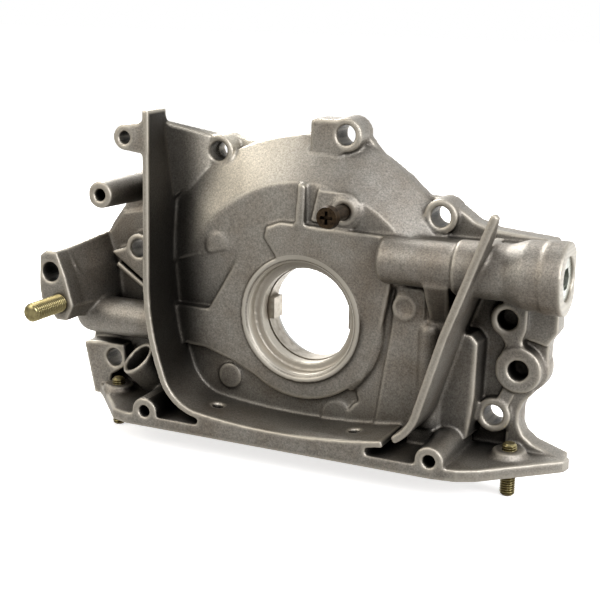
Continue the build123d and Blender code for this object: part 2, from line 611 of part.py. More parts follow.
# ---------------------------------------------------------------- rotors
def trochoid(inset):
    """Inner rotor outline: the lobe circle's inner envelope, as short arcs through its points."""
    count, samples = INNER_TEETH, 12
    steps = count * samples
    points = []
    for i in range(steps):
        t = 2 * pi * i / steps
        x = LOBE_CIRCLE_R * cos(t) + ECCENTRICITY * cos((count + 1) * t)
        y = LOBE_CIRCLE_R * sin(t) + ECCENTRICITY * sin((count + 1) * t)
        dx = -LOBE_CIRCLE_R * sin(t) - ECCENTRICITY * (count + 1) * sin((count + 1) * t)
        dy = LOBE_CIRCLE_R * cos(t) + ECCENTRICITY * (count + 1) * cos((count + 1) * t)
        size = hypot(dx, dy)
        points.append((x - inset * dy / size, y + inset * dx / size))
    arcs = [ThreePointArc(points[i], points[i + 1], points[(i + 2) % steps]) for i in range(0, steps, 2)]
    return make_face(arcs)


def rotor_back():
    """Height of the rotors' rear faces."""
    return PLATE_T + ROTOR_SIDE_GAP


def inner_rotor():
    """Inner rotor with the two drive lugs in its bore."""
    face = trochoid(LOBE_R + ROTOR_TIP_GAP) - Circle(INNER_BORE_R)
    lug = Pos(INNER_BORE_R - LUG_DEPTH / 2 + 0.4, 0) * Rectangle(LUG_DEPTH + 0.8, LUG_WIDTH)
    face += lug + Rot(0, 0, 180) * lug
    return slab(face, rotor_back() + ROTOR_T, rotor_back())


def outer_rotor():
    """Outer rotor: ring with one more round lobe than the inner rotor has teeth."""
    lobes = INNER_TEETH + 1
    face = Circle(OUTER_ROTOR_R) - Circle(OUTER_ROTOR_R - OUTER_ROTOR_WALL)
    for i in range(lobes):
        angle = (90 + 360 * i) / lobes
        lobe = Rot(0, 0, angle) * Pos(LOBE_CIRCLE_R, 0) * Circle(LOBE_R)
        face += lobe & Circle(OUTER_ROTOR_R)
    return slab(Pos(0, ECCENTRICITY) * face, rotor_back() + ROTOR_T, rotor_back())


# ---------------------------------------------------------------- cover plate
def plate_screw_spots():
    """Centres of the cover plate screws."""
    for i in range(PLATE_SCREW_COUNT):
        angle = radians(360 * i / PLATE_SCREW_COUNT + 30)
        yield PLATE_SCREW_CIRCLE_R * cos(angle), ECCENTRICITY + PLATE_SCREW_CIRCLE_R * sin(angle)


def plate_screw_holes():
    """Thread holes of the plate screws in the casting."""
    return Part() + [post(x, z, PLATE_SCREW_R, PLATE_SCREW_L) for x, z in plate_screw_spots()]


def cover_plate():
    """Flat steel plate that closes the rotor pocket."""
    face = Pos(0, ECCENTRICITY) * Circle(PLATE_R) - Circle(PLATE_BORE_R)
    plate = slab(face, PLATE_T)
    for x, z in plate_screw_spots():
        plate -= post(x, z, PLATE_SCREW_R, PLATE_T + 1, 0)
        plate -= screw_head(x, z)
    return plate


def screw_head(x, z):
    """Countersunk head, flush with the plate's rear face."""
    head_t = PLATE_SCREW_HEAD_R - PLATE_SCREW_R
    cone = Cone(PLATE_SCREW_HEAD_R, PLATE_SCREW_R, head_t)
    plane = Plane(origin=(x, -head_t / 2, z), z_dir=(0, -1, 0))
    return plane * cone


def plate_screws():
    """Countersunk screws with cross recesses."""
    screws = []
    for x, z in plate_screw_spots():
        screw = post(x, z, PLATE_SCREW_R, PLATE_SCREW_L) + screw_head(x, z)
        slot = Rectangle(3.6, 0.9) + Rectangle(0.9, 3.6)
        screw -= slab(Pos(x, z) * slot, 1.3, -0.5)
        screws.append(screw)
    return Compound(children=screws)


# ---------------------------------------------------------------- relief valve
def piston():
    """Hollow relief piston, closed at the pressure end."""
    start = VALVE_BORE_START_X + 1.0
    body = rod(start, start + PISTON_L, VALVE_BORE_R - VALVE_RUN_GAP)
    return body - rod(start + 3.0, start + PISTON_L, VALVE_BORE_R - VALVE_RUN_GAP - PISTON_WALL)


def spring():
    """Compression spring between the piston's floor and the plug."""
    start = VALVE_BORE_START_X + 4.0 + SPRING_END_GAP
    end = TUBE_END_X - PLUG_RECESS - PLUG_L - SPRING_END_GAP
    length = end - start - 2 * SPRING_WIRE_R
    radius = VALVE_BORE_R - VALVE_RUN_GAP - PISTON_WALL - 0.3 - SPRING_WIRE_R
    helix = Helix(pitch=length / SPRING_TURNS, height=length, radius=radius)
    plane = Plane(origin=(start + SPRING_WIRE_R, -TUBE_H, TUBE_Z), x_dir=(0, 1, 0), z_dir=(1, 0, 0))
    path = plane * helix
    section = Plane(origin=path @ 0, z_dir=path % 0) * RegularPolygon(SPRING_WIRE_R, 6)
    return sweep(section, path=path, is_frenet=True)


def plug():
    """Screw plug of the relief valve, with a hexagon socket."""
    end = TUBE_END_X - PLUG_RECESS
    body = rod(end - PLUG_L, end, PLUG_R)
    bottom = Plane(origin=(end - PLUG_SOCKET_DEPTH, -TUBE_H, TUBE_Z), x_dir=(0, 1, 0), z_dir=(1, 0, 0))
    hexagon = RegularPolygon(PLUG_SOCKET_AF / sqrt(3), 6)
    return body - extrude(bottom * hexagon, amount=PLUG_SOCKET_DEPTH)


# ---------------------------------------------------------------- fasteners
def guard_boss():
    """Boss of the belt-guard screw: double rim, with the land to its left."""
    foot = boss(*GUARD_AT, GUARD_BOSS_R + 1.8, GUARD_BOSS_H - 1.2, 8)
    rim = boss(*GUARD_AT, GUARD_BOSS_R, GUARD_BOSS_H, 8)
    land = slab(outline((4, 41), (18, 40), (18, 53.5), (7, 54)), DISC_H + 1.6, 8)
    return foot + rim + land


def guard_screw():
    """Pan-head screw with a cross recess, run partly out of its boss."""
    x, z = GUARD_AT
    tip, neck = GUARD_BOSS_H - GUARD_SCREW_IN, GUARD_BOSS_H + GUARD_SCREW_OUT
    screw = post(x, z, GUARD_SCREW_R, neck, tip)
    screw += post(x, z, GUARD_HEAD_R, neck + GUARD_HEAD_T, neck, taper=12)
    slot = Rectangle(5.2, 1.3) + Rectangle(1.3, 5.2)
    return screw - slab(Pos(x, z) * slot, neck + GUARD_HEAD_T + 1, neck + GUARD_HEAD_T - 1.8)


def bracket_stud():
    """Stud screwed into the bracket flange."""
    outer = post(*BRACKET_STUD_AT, BRACKET_STUD_R, BRACKET_H + BRACKET_STUD_OUT, BRACKET_H)
    return outer + post(*BRACKET_STUD_AT, BRACKET_THREAD_R, BRACKET_H, BRACKET_H - BRACKET_STUD_IN)


def pan_stud(side):
    """Stud screwed down through the pan flange."""
    x, y = PAN_STUDS[side]
    boss_top = PAN_Z + STUD_BOSS_T
    outer = pin(x, y, PAN_Z - PAN_STUD_OUT, PAN_Z, PAN_STUD_R)
    top = pin(x, y, boss_top, boss_top + PAN_STUD_TOP, PAN_STUD_R)
    return outer + top + pin(x, y, PAN_Z, boss_top, PAN_THREAD_R)


# ---------------------------------------------------------------- build
def main():
    os.makedirs("parts", exist_ok=True)
    nodes = {
        "pump_housing": housing(),
        "inner_rotor": inner_rotor(),
        "outer_rotor": outer_rotor(),
        "rotor_cover_plate": cover_plate(),
        "cover_plate_screws": plate_screws(),
        "relief_piston": piston(),
        "relief_spring": spring(),
        "relief_valve_plug": plug(),
        "belt_guard_screw": guard_screw(),
        "bracket_stud": bracket_stud(),
        "pan_stud_left": pan_stud("left"),
        "pan_stud_right": pan_stud("right"),
    }
    for name, shape in nodes.items():
        export_step(shape, f"parts/{name}.step")
        print(name, len(shape.solids()), round(shape.volume, 1))


main()
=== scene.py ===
"""Looks of an engine oil pump: blasted die-cast housing, machined seats, steel rotors and plated studs.

The frame holds the pump at its real size in metres: the crankshaft axis lies along Y through the origin, the
front of the engine faces -Y and +Z is up.  Sizes below are in millimetres unless a name says otherwise.
"""
import logging
import math
from dataclasses import dataclass, field
from enum import Enum

import bpy
import numpy as np
from mathutils import Matrix, Vector


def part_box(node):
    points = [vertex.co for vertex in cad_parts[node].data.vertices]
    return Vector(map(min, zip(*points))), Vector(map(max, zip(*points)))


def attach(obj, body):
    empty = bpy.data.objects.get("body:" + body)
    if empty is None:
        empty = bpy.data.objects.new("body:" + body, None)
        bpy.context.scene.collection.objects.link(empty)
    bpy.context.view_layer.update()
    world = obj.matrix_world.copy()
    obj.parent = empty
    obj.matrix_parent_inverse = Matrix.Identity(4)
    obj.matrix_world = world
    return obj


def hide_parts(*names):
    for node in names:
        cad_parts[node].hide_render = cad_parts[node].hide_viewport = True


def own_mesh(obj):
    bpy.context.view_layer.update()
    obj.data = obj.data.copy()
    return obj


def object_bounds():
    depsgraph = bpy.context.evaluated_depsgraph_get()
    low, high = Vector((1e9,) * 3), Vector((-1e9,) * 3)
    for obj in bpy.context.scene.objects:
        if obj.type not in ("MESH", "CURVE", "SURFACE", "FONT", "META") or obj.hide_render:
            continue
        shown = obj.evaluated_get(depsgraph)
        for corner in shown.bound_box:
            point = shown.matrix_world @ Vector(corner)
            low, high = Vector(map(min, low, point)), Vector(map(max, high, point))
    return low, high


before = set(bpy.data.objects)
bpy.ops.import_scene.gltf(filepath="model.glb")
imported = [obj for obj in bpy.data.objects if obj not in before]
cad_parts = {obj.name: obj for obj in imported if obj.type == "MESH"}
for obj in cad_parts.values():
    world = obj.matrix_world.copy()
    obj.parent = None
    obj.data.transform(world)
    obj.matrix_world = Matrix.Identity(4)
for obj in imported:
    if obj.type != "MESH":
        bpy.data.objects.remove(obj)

CAD_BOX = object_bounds()
MM = 0.001
LOG = logging.getLogger("oil_pump")


# ------------------------------------------------------------------ colours, nodes and meshes
def linear(hex_colour: str, alpha: float = 1.0) -> tuple[float, float, float, float]:
    """Turn an sRGB hex colour into linear RGBA.

    Args:
        hex_colour: Six hex digits, with or without a leading hash.
        alpha: Opacity.

    Returns:
        Linear red, green, blue and alpha.
    """
    digits = hex_colour.lstrip("#")
    channels = [int(digits[i:i + 2], 16) / 255 for i in (0, 2, 4)]
    return (*[c / 12.92 if c <= 0.04045 else ((c + 0.055) / 1.055) ** 2.4 for c in channels], alpha)


def per_mm(size: float) -> float:
    """Texture scale, in repeats per metre, of a pattern whose features are `size` millimetres wide."""
    return 1 / (size * MM)


def add_node(tree: bpy.types.NodeTree, kind: str, settings: dict | None = None,
             links: dict | None = None) -> bpy.types.Node:
    """Add a shader node with its settings and links.

    Args:
        tree: Node tree of the material or world.
        kind: Blender's type name of the node.
        settings: Socket names or numbers, or properties of the node, with their values.
        links: Socket names or numbers with the output sockets that feed them.

    Returns:
        The new node.
    """
    node = tree.nodes.new(kind)
    properties = [k for k in settings or {} if isinstance(k, str) and k not in node.inputs.keys()]
    for name in properties:
        setattr(node, name, settings[name])
    for name, value in (settings or {}).items():
        if name not in properties:
            node.inputs[name].default_value = value
    for name, socket in (links or {}).items():
        tree.links.new(socket, node.inputs[name])
    return node


def ramp(tree: bpy.types.NodeTree, value: bpy.types.NodeSocket, start: float, end: float, low: float = 0.0,
         high: float = 1.0, interpolation: str = "LINEAR") -> bpy.types.NodeSocket:
    """Turn a value between start and end into one between low and high.

    Args:
        tree: Node tree.
        value: The value.
        start: Value that gives the low result, as does everything on its far side.
        end: Value that gives the high result, as does everything beyond it.
        low: Result at the start.
        high: Result at the end.
        interpolation: Blender's name of the curve between them.

    Returns:
        The result.
    """
    return add_node(tree, "ShaderNodeMapRange",
                    {"interpolation_type": interpolation, "From Min": start, "From Max": end,
                     "To Min": low, "To Max": high}, {"Value": value}).outputs["Result"]


def maths(tree: bpy.types.NodeTree, operation: str, first: bpy.types.NodeSocket,
          second: bpy.types.NodeSocket | float) -> bpy.types.NodeSocket:
    """Join two values by a maths operation.

    Args:
        tree: Node tree.
        operation: Blender's name of the operation.
        first: First value.
        second: Second value, which may be a plain number.

    Returns:
        The result.
    """
    if isinstance(second, float):
        node = add_node(tree, "ShaderNodeMath", {"operation": operation, 1: second}, {0: first})
    else:
        node = add_node(tree, "ShaderNodeMath", {"operation": operation}, {0: first, 1: second})
    return node.outputs[0]


def join(tree: bpy.types.NodeTree, operation: str, values: list[bpy.types.NodeSocket]) -> bpy.types.NodeSocket:
    """Join several values by a maths operation, from first to last.

    Args:
        tree: Node tree.
        operation: Blender's name of the operation.
        values: The values.

    Returns:
        The result.
    """
    result = values[0]
    for value in values[1:]:
        result = maths(tree, operation, result, value)
    return result


def blend(tree: bpy.types.NodeTree, share: bpy.types.NodeSocket, under: bpy.types.NodeSocket | str,
          over: bpy.types.NodeSocket | str) -> bpy.types.NodeSocket:
    """Lay one colour over another.

    Args:
        tree: Node tree.
        share: How far the upper colour hides the lower, 0 to 1.
        under: Lower colour, as a socket or a hex colour.
        over: Upper colour, as a socket or a hex colour.

    Returns:
        The mixed colour.
    """
    layers = {6: under, 7: over}
    plain = {slot: linear(colour) for slot, colour in layers.items() if isinstance(colour, str)}
    linked = {slot: colour for slot, colour in layers.items() if not isinstance(colour, str)}
    return add_node(tree, "ShaderNodeMix", {"data_type": "RGBA", **plain}, {"Factor": share, **linked}).outputs[2]


def noise(tree: bpy.types.NodeTree, place: bpy.types.NodeSocket, size: float, detail: float,
          roughness: float = 0.5) -> bpy.types.NodeSocket:
    """Uneven pattern with patches of a given size.

    Args:
        tree: Node tree.
        place: Object coordinates.
        size: Size of the patches in millimetres.
        detail: How many finer layers it has.
        roughness: How strong each finer layer is.

    Returns:
        The pattern, 0 to 1.
    """
    return add_node(tree, "ShaderNodeTexNoise",
                    {"Scale": per_mm(size), "Detail": detail, "Roughness": roughness},
                    {"Vector": place}).outputs["Fac"]


def open_share(tree: bpy.types.NodeTree, reach: float, samples: int) -> bpy.types.NodeSocket:
    """How open the surroundings of a point are, from 0 in a narrow hole to 1 on a free face.

    Args:
        tree: Node tree.
        reach: How near a wall must be to count, in millimetres.
        samples: How many rays look for walls.

    Returns:
        The open share.
    """
    return add_node(tree, "ShaderNodeAmbientOcclusion", {"samples": samples, "Distance": reach * MM}).outputs["AO"]


def mesh_object(name: str, points: np.ndarray, faces: list, sharp_deg: float = 30.0) -> bpy.types.Object:
    """Make a smooth-shaded mesh object whose edges above an angle stay sharp.

    Args:
        name: Name of the piece.
        points: Vertex places in metres.
        faces: Vertex numbers of each face.
        sharp_deg: Edges that turn by more than this stay sharp.

    Returns:
        The linked object.
    """
    mesh = bpy.data.meshes.new(name)
    mesh.from_pydata([tuple(p) for p in points], [], faces)
    mesh.validate()
    mesh.shade_smooth()
    mesh.set_sharp_from_angle(angle=math.radians(sharp_deg))
    piece = bpy.data.objects.new(name, mesh)
    bpy.context.scene.collection.objects.link(piece)
    return piece


def apply_modifiers(piece: bpy.types.Object) -> None:
    """Bake a piece's modifiers into its mesh."""
    graph = bpy.context.evaluated_depsgraph_get()
    graph.update()
    mesh = bpy.data.meshes.new_from_object(piece.evaluated_get(graph), depsgraph=graph)
    piece.modifiers.clear()
    piece.data = mesh


# ------------------------------------------------------------------ finishes
@dataclass(frozen=True)
class Zones:
    """Where the casting's surface changes, in millimetres: radii from the crankshaft axis and places along
    the axes.
    """

    seal_bore: float = 24.2          # radius that takes in the seal bore's wall
    ring: float = 26.85              # radius of the turned ring round the bore
    ring_front: float = -23.7        # the ring's face lies in front of this
    gasket_face: float = -0.25       # everything behind this is milled
    pocket: float = 55.0             # radius that takes in the rotor pocket
    pocket_front: float = -12.3      # the pocket lies behind this
    pan_face: float = -50.35         # everything below this is milled
    tube_end: float = 108.9          # the relief tube's end face lies to the right of this
    wall_outside: float = -60.9      # outer face of the belt-cover wall
    wall_rim: float = -42.5          # front rim of that wall
    # Each pair below says where a tone is absent and where it is full.
    dust_and_shade_span: tuple[float, float] = (-40.0, -56.0)               # belt dust and painted shade beside the belt-cover wall, along x
    shoulder_foot: tuple[float, float] = (54.0, 58.0)        # painted light on the shoulder, by radius
    shoulder_side: tuple[float, float] = (0.0, -26.0)        # its right end, along x
    shoulder_end: tuple[float, float] = (-58.0, -50.0)       # its left end, along x
    shoulder_height: tuple[float, float] = (18.0, 34.0)      # its lower end, upwards


@dataclass(frozen=True)
class DieCastAluminium:
    """Pressure die-cast aluminium, shot-blasted and then oiled in use: a matt, faintly sparkling grey skin
    with brown oil stain, painted shade in its corners and by the belt-cover wall, paler worn edges that also carry
    a painted highlight, and painted light on the upper left shoulder.  Seats and bores are turned bright.
    """

    skin: str = "#9a968e"
    # pale tone of worn edges; also the painted highlight on outer edges and the painted light on the shoulder
    pale: str = "#c6bfb1"
    # brown of stains and dried oil; also paints shade on machined faces near other walls
    stain_and_shade: str = "#6b5a47"
    # near-black for painted shade in hollows, holes and inner edges, and for belt dust
    grime_and_shade: str = "#0e0b08"
    bright: str = "#c4beb1"
    blast_grain: float = 0.7         # shot-blast dimples, drawn coarser than their 0.3 mm so that they show
    dimple_depth: float = 0.16
    grain_tones: tuple[float, float] = (0.62, 1.38)          # how far the grain darkens and brightens the skin
    pit: float = 1.1                 # small pits of the cast skin
    pit_width: float = 0.16          # their share of that size
    pit_tone: float = 0.84           # how bright they stay
    mottle: float = 16.0             # patches of stain
    mottle_share: float = 0.30       # how far stain colours the skin at most
    shade_reach: float = 26.0        # how near another wall must be for the painted shade and oil film to stay
    shade_film: float = 0.55         # how far that painted shade film darkens the skin
    hole_shade: float = 0.99         # how far deep corners and holes are blackened as painted shade
    crease_shade_share: float = 0.7        # how far painted shade darkens the inner edges
    film_patch: float = 42.0         # broad patches where more oil has dried on
    film_share: float = 0.55         # how far they colour the skin at most
    film_open: tuple[float, float] = (0.90, 0.48)            # open share where the painted shade film starts and is full
    deep_open: tuple[float, float] = (0.55, 0.20)            # open share where black painted shade starts and is full
    hollow_edge: tuple[float, float] = (-0.12, -0.55)        # edge value where painted shade in the inner edges starts and is full
    worn_lit_edge: tuple[float, float] = (0.10, 0.50)            # edge value where wear and a painted highlight start and are full
    edge_wear_and_highlight: float = 0.85          # how far outer edges are worn pale, which also paints a highlight on them
    dust_and_shade_share: float = 0.88         # how far belt dust and painted shade darken the wall's inner face
    turning_pitch: float = 0.5       # feed of the turning tool, drawn coarser than 0.15 mm so that it shows
    turning_contrast: float = 0.35
    metallic: float = 0.90
    roughness: float = 0.50
    relief: float = 0.60             # how strongly the dimples tilt the surface
    machined_metallic: float = 0.55
    machined_roughness: float = 0.44
    machined_relief: float = 0.05
    zones: Zones = Zones()

    def build(self) -> bpy.types.Material:
        """Make the material.

        Returns:
            The node material of the casting.
        """
        material = bpy.data.materials.new("die_cast_aluminium")
        material.use_nodes = True
        tree = material.node_tree
        shader = tree.nodes["Principled BSDF"]
        place = add_node(tree, "ShaderNodeTexCoord").outputs["Object"]
        machined = self.machined_mask(tree, place)
        rings = self.turning_marks(tree, place)
        edge = add_node(tree, "ShaderNodeAttribute", {"attribute_name": "edge"}).outputs["Fac"]

        grain = noise(tree, place, self.blast_grain, 4.0, 0.7)
        speck = add_node(tree, "ShaderNodeTexVoronoi", {"Scale": per_mm(self.pit)}, {"Vector": place})
        pits = ramp(tree, speck.outputs["Distance"], 0.0, self.pit_width, self.pit_tone)
        sparkle = maths(tree, "MULTIPLY", ramp(tree, grain, 0.3, 0.7, *self.grain_tones), pits)
        grained = add_node(tree, "ShaderNodeVectorMath", {"operation": "SCALE"},
                           {0: self.stained_skin_and_painted_light(tree, place), "Scale": sparkle})

        # painted shade with oil: the skin is darkened near other walls and blackened in deep holes
        oil_and_shade = self.oil_and_painted_shade(tree)
        # painted shade in the concave inner edges
        crease_shade = ramp(tree, edge, *self.hollow_edge, 0.0, self.crease_shade_share)
        # painted shade, crease shade and belt dust together
        dirt_and_shade = join(tree, "MAXIMUM", [oil_and_shade, crease_shade, self.dust_and_painted_shade(tree, place)])
        dirtied_and_shaded = blend(tree, dirt_and_shade, grained.outputs[0], self.grime_and_shade)
        # paler worn outer edges, which also paint a highlight on them
        worn_and_lit = blend(tree, ramp(tree, edge, *self.worn_lit_edge, 0.0, self.edge_wear_and_highlight), dirtied_and_shaded, self.pale)
        turned = blend(tree, ramp(tree, rings, 0.0, 1.0, 0.0, self.turning_contrast), self.bright, self.skin)
        # painted shade: machined faces take the stain tone where other walls are near
        oiled_and_shaded = blend(tree, oil_and_shade, turned, self.stain_and_shade)
        tree.links.new(blend(tree, machined, worn_and_lit, oiled_and_shaded), shader.inputs["Base Color"])

        metal = add_node(tree, "ShaderNodeMix", {"data_type": "FLOAT", 3: self.machined_metallic},
                         {"Factor": machined, 2: ramp(tree, dirt_and_shade, 0.0, 1.0, self.metallic)})
        tree.links.new(metal.outputs[0], shader.inputs["Metallic"])
        rough = ramp(tree, machined, 0.0, 1.0, self.roughness, self.machined_roughness)
        tree.links.new(rough, shader.inputs["Roughness"])

        height = add_node(tree, "ShaderNodeMix", {"data_type": "FLOAT"},
                          {"Factor": machined, 2: maths(tree, "MULTIPLY", grain, pits), 3: rings})
        strength = ramp(tree, machined, 0.0, 1.0, self.relief, self.machined_relief)
        bump = add_node(tree, "ShaderNodeBump", {"Distance": self.dimple_depth * MM},
                        {"Height": height.outputs[0], "Strength": strength})
        tree.links.new(bump.outputs["Normal"], shader.inputs["Normal"])
        return material

    def stained_skin_and_painted_light(self, tree: bpy.types.NodeTree, place: bpy.types.NodeSocket) -> bpy.types.NodeSocket:
        """Colour of the cast skin with its stains, broad patches of dried oil and painted light on the shoulder.

        Args:
            tree: Node tree of the material.
            place: Object coordinates.

        Returns:
            The colour.
        """
        stains = ramp(tree, noise(tree, place, self.mottle, 6.0, 0.62), 0.40, 0.70, 0.0, self.mottle_share)
        stained = blend(tree, stains, self.skin, self.stain_and_shade)
        dried = ramp(tree, noise(tree, place, self.film_patch, 7.0, 0.68), 0.45, 0.72, 0.0, self.film_share)
        filmed = blend(tree, dried, stained, self.stain_and_shade)
        # painted light: the upper left shoulder is made paler
        return blend(tree, self.painted_light_shoulder(tree, place), filmed, self.pale)

    def oil_and_painted_shade(self, tree: bpy.types.NodeTree) -> bpy.types.NodeSocket:
        """Painted shade, with oil and dirt, between walls: a darker film where walls are near, black in deep
        holes.

        Args:
            tree: Node tree of the material.

        Returns:
            How far the painted shade and oil darken the metal, 0 to 1.
        """
        # painted shade read from how open the surroundings are
        openness = open_share(tree, self.shade_reach, 8)
        film = ramp(tree, openness, *self.film_open, 0.0, self.shade_film)
        deep = ramp(tree, openness, *self.deep_open, 0.0, self.hole_shade)
        return maths(tree, "MAXIMUM", film, deep)

    def dust_and_painted_shade(self, tree: bpy.types.NodeTree, place: bpy.types.NodeSocket) -> bpy.types.NodeSocket:
        """Painted shade of the belt-cover wall, with black belt dust and oil, on the wall's inner face and on the
        web beside it.

        Args:
            tree: Node tree of the material.
            place: Object coordinates.

        Returns:
            How far the dust and painted shade darken the skin, 0 to 1.
        """
        axes = add_node(tree, "ShaderNodeSeparateXYZ", {}, {"Vector": place}).outputs
        start, full = (x * MM for x in self.zones.dust_and_shade_span)
        # darker towards the wall: painted shade of the wall, with belt dust
        near = ramp(tree, axes["X"], start, full, 0.0, self.dust_and_shade_share, "SMOOTHSTEP")
        inside = maths(tree, "GREATER_THAN", axes["X"], self.zones.wall_outside * MM)
        behind = maths(tree, "GREATER_THAN", axes["Y"], self.zones.wall_rim * MM)
        return join(tree, "MULTIPLY", [near, inside, behind])

    def painted_light_shoulder(self, tree: bpy.types.NodeTree, place: bpy.types.NodeSocket) -> bpy.types.NodeSocket:
        """Painted light: paler skin on the sloping shoulder at the upper left.

        Args:
            tree: Node tree of the material.
            place: Object coordinates.

        Returns:
            How far the painted light shows, 0 to 1.
        """
        zones = self.zones
        axes = add_node(tree, "ShaderNodeSeparateXYZ", {}, {"Vector": place}).outputs
        limits = ((self.axis_radius(tree, axes), zones.shoulder_foot), (axes["X"], zones.shoulder_side),
                  (axes["X"], zones.shoulder_end), (axes["Z"], zones.shoulder_height))
        return join(tree, "MULTIPLY", [ramp(tree, value, none * MM, full * MM) for value, (none, full) in limits])

    def turning_marks(self, tree: bpy.types.NodeTree, place: bpy.types.NodeSocket) -> bpy.types.NodeSocket:
        """Fine rings round the crankshaft axis.

        Args:
            tree: Node tree of the material.
            place: Object coordinates.

        Returns:
            A 0 to 1 wave along the radius.
        """
        scale = per_mm(self.turning_pitch) * math.tau / 20      # the wave texture has 20 / tau rings per unit
        wave = add_node(tree, "ShaderNodeTexWave",
                        {"wave_type": "RINGS", "rings_direction": "Y", "Scale": scale, "Distortion": 0.3,
                         "Detail": 1.0}, {"Vector": place})
        return wave.outputs["Fac"]

    def machined_mask(self, tree: bpy.types.NodeTree, place: bpy.types.NodeSocket) -> bpy.types.NodeSocket:
        """Where the casting is turned or milled: seal bore and ring, gasket face, rotor pocket, pan face and
        the relief tube's end.

        Args:
            tree: Node tree of the material.
            place: Object coordinates.

        Returns:
            1 on machined metal, 0 on the cast skin.
        """
        zones = self.zones
        axes = add_node(tree, "ShaderNodeSeparateXYZ", {}, {"Vector": place}).outputs
        radius = self.axis_radius(tree, axes)

        def passes(value: bpy.types.NodeSocket, kind: str, limit: float) -> bpy.types.NodeSocket:
            """1 where the value passes the limit, in millimetres."""
            return maths(tree, kind, value, limit * MM)

        ring = maths(tree, "MULTIPLY", passes(radius, "LESS_THAN", zones.ring),
                     passes(axes["Y"], "LESS_THAN", zones.ring_front))
        pocket = maths(tree, "MULTIPLY", passes(radius, "LESS_THAN", zones.pocket),
                       passes(axes["Y"], "GREATER_THAN", zones.pocket_front))
        return join(tree, "MAXIMUM", [passes(radius, "LESS_THAN", zones.seal_bore), ring,
                                      passes(axes["Y"], "GREATER_THAN", zones.gasket_face), pocket,
                                      passes(axes["Z"], "LESS_THAN", zones.pan_face),
                                      passes(axes["X"], "GREATER_THAN", zones.tube_end)])

    @staticmethod
    def axis_radius(tree: bpy.types.NodeTree, axes: bpy.types.NodeOutputs) -> bpy.types.NodeSocket:
        """Distance from the crankshaft axis, in metres."""
        flat = add_node(tree, "ShaderNodeCombineXYZ", {}, {"X": axes["X"], "Y": axes["Z"]})
        length = add_node(tree, "ShaderNodeVectorMath", {"operation": "LENGTH"}, {0: flat.outputs[0]})
        return length.outputs["Value"]


@dataclass(frozen=True)
class Steel:
    """Bare or plated steel: smooth under a thin plating, with fine grinding lines or plating mottle."""

    name: str
    colour: str
    dark: str                        # colour of wear and of painted shade in corners
    roughness: float
    metallic: float
    mottle: float                    # patches of wear and plating
    mottle_share: float
    grain: float                     # fine surface grain
    bump: float                      # depth of that grain
    shade_deep: float                # how far painted shade darkens corners
    corner: float = 2.5              # how near another wall must be for that painted shade
    gloss_spread: tuple[float, float] = (-0.08, 0.14)        # how far roughness varies over the mottle
    relief: float = 0.6              # how strongly the grain tilts the surface

    def build(self) -> bpy.types.Material:
        """Make the material.

        Returns:
            The node material of the steel piece.
        """
        material = bpy.data.materials.new(self.name)
        material.use_nodes = True
        tree = material.node_tree
        shader = tree.nodes["Principled BSDF"]
        place = add_node(tree, "ShaderNodeTexCoord").outputs["Object"]
        mottle = noise(tree, place, self.mottle, 5.0)
        grain = noise(tree, place, self.grain, 3.0)
        worn = ramp(tree, mottle, 0.40, 0.66, 0.0, self.mottle_share)
        # painted shade: corners and thread roots darkened by ambient occlusion
        corner_shade = ramp(tree, open_share(tree, self.corner, 6), 0.9, 0.3, 0.0, self.shade_deep)
        colour = blend(tree, maths(tree, "MAXIMUM", worn, corner_shade), self.colour, self.dark)
        tree.links.new(colour, shader.inputs["Base Color"])
        shader.inputs["Metallic"].default_value = self.metallic
        rough = ramp(tree, mottle, 0.0, 1.0, *(self.roughness + change for change in self.gloss_spread))
        tree.links.new(rough, shader.inputs["Roughness"])
        bump = add_node(tree, "ShaderNodeBump", {"Distance": self.bump * MM, "Strength": self.relief},
                        {"Height": grain})
        tree.links.new(bump.outputs["Normal"], shader.inputs["Normal"])
        return material


class Finish(Enum):
    """Steel finishes of the small pieces."""

    # Pressed and sintered rotors: a soft grey sheen with an open grain.
    SINTERED = Steel("sintered_steel", "#b5aea2", "#6d655a", 0.36, 1.0, 3.0, 0.5, 0.35, 0.03, 0.5)
    # Ground plate, piston and spring: smooth, an even silver grey.
    GROUND = Steel("ground_steel", "#bdbcb8", "#8d8a84", 0.28, 1.0, 6.0, 0.4, 0.2, 0.015, 0.3)
    # Phosphated plate screws: dull and dark grey.
    PHOSPHATED = Steel("phosphated_steel", "#6e6a64", "#3a3630", 0.42, 0.9, 1.5, 0.5, 0.25, 0.02, 0.5)
    # Clear zinc on the valve plug: bright and cool, with painted shade in its hexagon.
    ZINC = Steel("bright_zinc", "#ccd0c8", "#8b8b80", 0.26, 1.0, 3.0, 0.35, 0.3, 0.015, 0.6)
    # Yellow passivated zinc on the studs: a pale brass tone with painted brown shade in the thread.
    YELLOW_ZINC = Steel("yellow_zinc", "#b5aa7c", "#4c3d22", 0.27, 1.0, 2.2, 0.45, 0.2, 0.02, 1.0)
    # Black phosphated screw: oily brown-black with a rusty tinge.
    RUSTY_BLACK = Steel("oiled_black_steel", "#4a3c2c", "#150f0a", 0.33, 0.9, 1.4, 0.75, 0.25, 0.04, 0.95)


